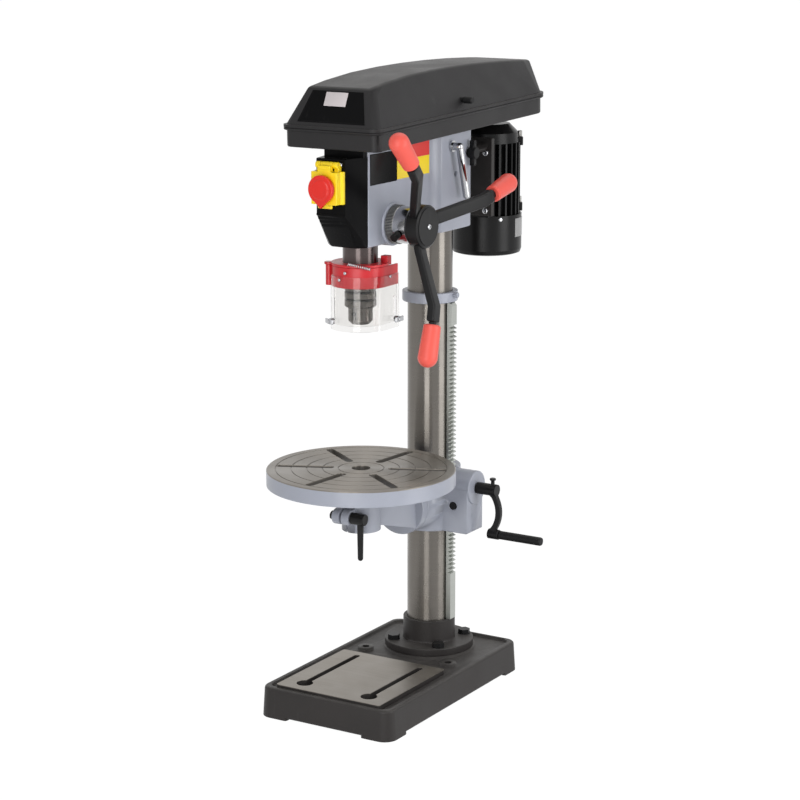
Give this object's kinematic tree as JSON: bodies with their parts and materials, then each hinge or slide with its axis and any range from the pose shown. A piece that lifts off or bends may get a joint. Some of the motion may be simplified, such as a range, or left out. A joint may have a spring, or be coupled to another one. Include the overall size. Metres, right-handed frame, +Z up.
{
  "type": "bench pillar drill",
  "caption": "Belt-driven bench pillar drill: slotted base, column with rack-raised tilting round table, quill feed handle, geared chuck and hinged chuck guard.",
  "frame": {"origin": "on the bench plane, midway between the two bench-bolt holes of the base", "axes": "+X to the operator's right, +Y away from the operator, +Z up the column"},
  "size_m": [0.3493, 0.5938, 0.9867],
  "materials": {
    "cast_grey": "light grey enamel on cast iron",
    "charcoal": "dark grey enamel on cast iron",
    "housing_black": "textured black paint on sheet steel",
    "gloss_black": "gloss black moulding",
    "motor_black": "black enamel on aluminium",
    "satin_black": "satin black",
    "ground_steel": "ground bright steel",
    "bright_steel": "machined steel",
    "machined_iron": "turned bare top, painted rim",
    "chrome": "polished",
    "alloy": "die cast alloy",
    "belt_rubber": "matt rubber",
    "grip_red": "coral red moulding",
    "guard_red": "red moulding",
    "clear": "clear sheet",
    "yellow": "yellow moulding",
    "stop_red": "red moulding",
    "green": "green moulding",
    "grip_black": "black moulding"
  },
  "bodies": {
    "frame": {"base": "charcoal", "base_pad": "charcoal", "column_flange": "charcoal", "flange_bolts": "satin_black", "column": "ground_steel", "rack_ring": "cast_grey", "head": "cast_grey", "front_cover": "gloss_black", "switch_box": "yellow", "belt_tray": "housing_black", "spring_case": "charcoal", "return_spring": "bright_steel", "pulley_bearings": "bright_steel", "belts": "belt_rubber"},
    "rack": {"rack": "bright_steel"},
    "bracket": {"table_bracket": "cast_grey", "gear_pin": "satin_black"},
    "gear": {"elevating_gear": "bright_steel"},
    "crank": {"worm_shaft": "bright_steel", "crank_arm": "satin_black"},
    "crank_grip": {"crank_grip": "grip_black"},
    "column_lock": {"column_lock": "satin_black"},
    "table_arm": {"table_arm": "cast_grey", "tilt_bolt": "satin_black"},
    "table_lock": {"table_lock": "satin_black"},
    "table": {"table": "machined_iron", "table_stem": "cast_grey"},
    "quill": {"quill": "ground_steel", "quill_bearings": "bright_steel", "guard_collar": "guard_red"},
    "guard_frame": {"guard_frame": "guard_red", "guard_window": "clear"},
    "guard_shield": {"guard_shield": "clear"},
    "spindle": {"spindle": "bright_steel", "chuck_body": "bright_steel"},
    "chuck_sleeve": {"chuck_sleeve": "chrome"},
    "jaw_a": {"jaw_a": "bright_steel"},
    "jaw_b": {"jaw_b": "bright_steel"},
    "jaw_c": {"jaw_c": "bright_steel"},
    "feed": {"feed_shaft": "bright_steel", "feed_hub": "satin_black", "feed_arms": "satin_black", "feed_grips": "grip_red"},
    "depth_ring": {"depth_ring": "chrome"},
    "depth_lock": {"depth_lock": "satin_black"},
    "spindle_pulley": {"spindle_pulley": "alloy"},
    "idler_arm": {"idler_arm": "bright_steel"},
    "idler_pulley": {"idler_pulley": "alloy"},
    "motor": {"motor_body": "motor_black", "fan_cover": "motor_black", "motor_mount": "charcoal"},
    "rotor": {"motor_shaft": "bright_steel", "motor_pulley": "alloy"},
    "tension_lever": {"tension_lever": "chrome"},
    "motor_lock": {"motor_lock": "grip_black"},
    "lid": {"belt_lid": "housing_black", "lid_knob": "grip_black"},
    "switch_flap": {"switch_flap": "yellow"},
    "stop_paddle": {"stop_paddle": "stop_red"},
    "start_button": {"start_button": "green"}
  },
  "joints": [
    {"name": "table_swing", "type": "hinge", "parent": "frame", "child": "rack", "pos_m": [0, 0.0715, 0], "axis": [0, 0, 1], "range_deg": [-75, 75]},
    {"name": "table_height", "type": "slide", "parent": "rack", "child": "bracket", "axis": [0, 0, 1], "range_m": [-0.107, 0.17]},
    {"name": "gear_turn", "type": "hinge", "parent": "bracket", "child": "gear", "pos_m": [0.0599, 0.0715, 0.294], "axis": [0, 1, 0], "range_deg": [-700, 520]},
    {"name": "crank_turn", "type": "hinge", "parent": "bracket", "child": "crank", "pos_m": [0.0599, 0.0715, 0.3216], "axis": [1, 0, 0], "range_deg": [-8000, 11000]},
    {"name": "crank_grip_turn", "type": "hinge", "parent": "crank", "child": "crank_grip", "pos_m": [0.129, 0.0715, 0.2496], "axis": [1, 0, 0], "continuous": true},
    {"name": "column_lock_turn", "type": "hinge", "parent": "bracket", "child": "column_lock", "pos_m": [-0.06, 0.0715, 0.3], "axis": [1, 0, 0], "range_deg": [-60, 60]},
    {"name": "table_tilt", "type": "hinge", "parent": "bracket", "child": "table_arm", "pos_m": [0, -0.0085, 0.3], "axis": [0, 1, 0], "range_deg": [-45, 45]},
    {"name": "table_turn", "type": "hinge", "parent": "table_arm", "child": "table", "pos_m": [0, -0.134, 0.35], "axis": [0, 0, 1], "continuous": true},
    {"name": "table_lock_turn", "type": "hinge", "parent": "table_arm", "child": "table_lock", "pos_m": [0, -0.1735, 0.318], "axis": [1, 0, 0], "range_deg": [-100, 15]},
    {"name": "quill_feed", "type": "slide", "parent": "frame", "child": "quill", "axis": [0, 0, -1], "range_m": [0, 0.08], "stiffness_N_per_m": 600, "springref_m": -0.2},
    {"name": "feed_turn", "type": "hinge", "parent": "frame", "child": "feed", "pos_m": [0, -0.0964, 0.761], "axis": [1, 0, 0], "range_deg": [-10, 375]},
    {"name": "depth_set", "type": "hinge", "parent": "feed", "child": "depth_ring", "pos_m": [0.058, -0.0964, 0.761], "axis": [1, 0, 0], "range_deg": [-170, 170]},
    {"name": "depth_lock_turn", "type": "hinge", "parent": "depth_ring", "child": "depth_lock", "pos_m": [0.059, -0.0964, 0.761], "axis": [0, -0.9272, -0.3746], "range_deg": [-180, 180]},
    {"name": "guard_swing", "type": "hinge", "parent": "quill", "child": "guard_frame", "pos_m": [-0.04029, -0.15821, 0.687], "axis": [0, 0, -1], "range_deg": [0, 100]},
    {"name": "shield_slide", "type": "slide", "parent": "guard_frame", "child": "guard_shield", "axis": [0, 0, -1], "range_m": [0, 0.034]},
    {"name": "motor_spin", "type": "hinge", "parent": "motor", "child": "rotor", "pos_m": [0, 0.2525, 0.8], "axis": [0, 0, 1], "continuous": true},
    {"name": "idler_spin", "type": "hinge", "parent": "idler_arm", "child": "idler_pulley", "pos_m": [0, 0.0595, 0.93], "axis": [0, 0, 1], "continuous": true},
    {"name": "pulley_spin", "type": "hinge", "parent": "frame", "child": "spindle_pulley", "pos_m": [0, -0.134, 0.93], "axis": [0, 0, 1], "continuous": true},
    {"name": "spindle_spin", "type": "hinge", "parent": "quill", "child": "spindle", "pos_m": [0, -0.134, 0.76], "axis": [0, 0, 1], "continuous": true},
    {"name": "chuck_turn", "type": "hinge", "parent": "spindle", "child": "chuck_sleeve", "pos_m": [0, -0.134, 0.65], "axis": [0, 0, 1], "range_deg": [0, 720]},
    {"name": "jaw_a_slide", "type": "slide", "parent": "spindle", "child": "jaw_a", "axis": [0, -0.2588, -0.9659], "range_m": [0, 0.0181]},
    {"name": "jaw_b_slide", "type": "slide", "parent": "spindle", "child": "jaw_b", "axis": [0.2241, 0.1294, -0.9659], "range_m": [0, 0.0181]},
    {"name": "jaw_c_slide", "type": "slide", "parent": "spindle", "child": "jaw_c", "axis": [-0.2241, 0.1294, -0.9659], "range_m": [0, 0.0181]},
    {"name": "motor_slide", "type": "slide", "parent": "frame", "child": "motor", "axis": [0, -1, 0], "range_m": [0, 0.02], "deforming": ["belts"]},
    {"name": "tension_lever_turn", "type": "hinge", "parent": "frame", "child": "tension_lever", "pos_m": [0.05, 0.0515, 0.864], "axis": [1, 0, 0], "range_deg": [-35, 5]},
    {"name": "motor_lock_turn", "type": "hinge", "parent": "frame", "child": "motor_lock", "pos_m": [0.052, 0.1035, 0.849], "axis": [1, 0, 0], "range_deg": [-170, 170]},
    {"name": "idler_swing", "type": "hinge", "parent": "frame", "child": "idler_arm", "pos_m": [-0.025, 0.0595, 0.89], "axis": [0, 0, 1], "range_deg": [-6, 6], "deforming": ["belts"]},
    {"name": "lid_open", "type": "hinge", "parent": "frame", "child": "lid", "pos_m": [-0.0906, 0.01997, 0.91737], "axis": [0, -0.9995, -0.0314], "range_deg": [0, 95]},
    {"name": "flap_open", "type": "hinge", "parent": "frame", "child": "switch_flap", "pos_m": [0, -0.2215, 0.86], "axis": [-1, 0, 0], "range_deg": [0, 80]},
    {"name": "stop_press", "type": "slide", "parent": "switch_flap", "child": "stop_paddle", "axis": [0, 1, 0], "range_m": [0, 0.003], "stiffness_N_per_m": 800, "springref_m": -0.001},
    {"name": "start_press", "type": "slide", "parent": "frame", "child": "start_button", "axis": [0, 1, 0], "range_m": [0, 0.002], "stiffness_N_per_m": 800, "springref_m": -0.001}
  ],
  "couplings": [
    {"joint": "gear_turn", "follows": "table_height", "rad_per_m": -56.818},
    {"joint": "crank_turn", "follows": "table_height", "rad_per_m": 909.09},
    {"joint": "feed_turn", "follows": "quill_feed", "rad_per_m": 79.365},
    {"joint": "idler_spin", "follows": "motor_spin", "ratio": 0.66265},
    {"joint": "pulley_spin", "follows": "motor_spin", "ratio": 0.51032},
    {"joint": "spindle_spin", "follows": "motor_spin", "ratio": 0.51032},
    {"joint": "tension_lever_turn", "follows": "motor_slide", "rad_per_m": -26.18},
    {"joint": "jaw_a_slide", "follows": "chuck_turn", "m_per_rad": 0.0014324},
    {"joint": "jaw_b_slide", "follows": "chuck_turn", "m_per_rad": 0.0014324},
    {"joint": "jaw_c_slide", "follows": "chuck_turn", "m_per_rad": 0.0014324}
  ]
}
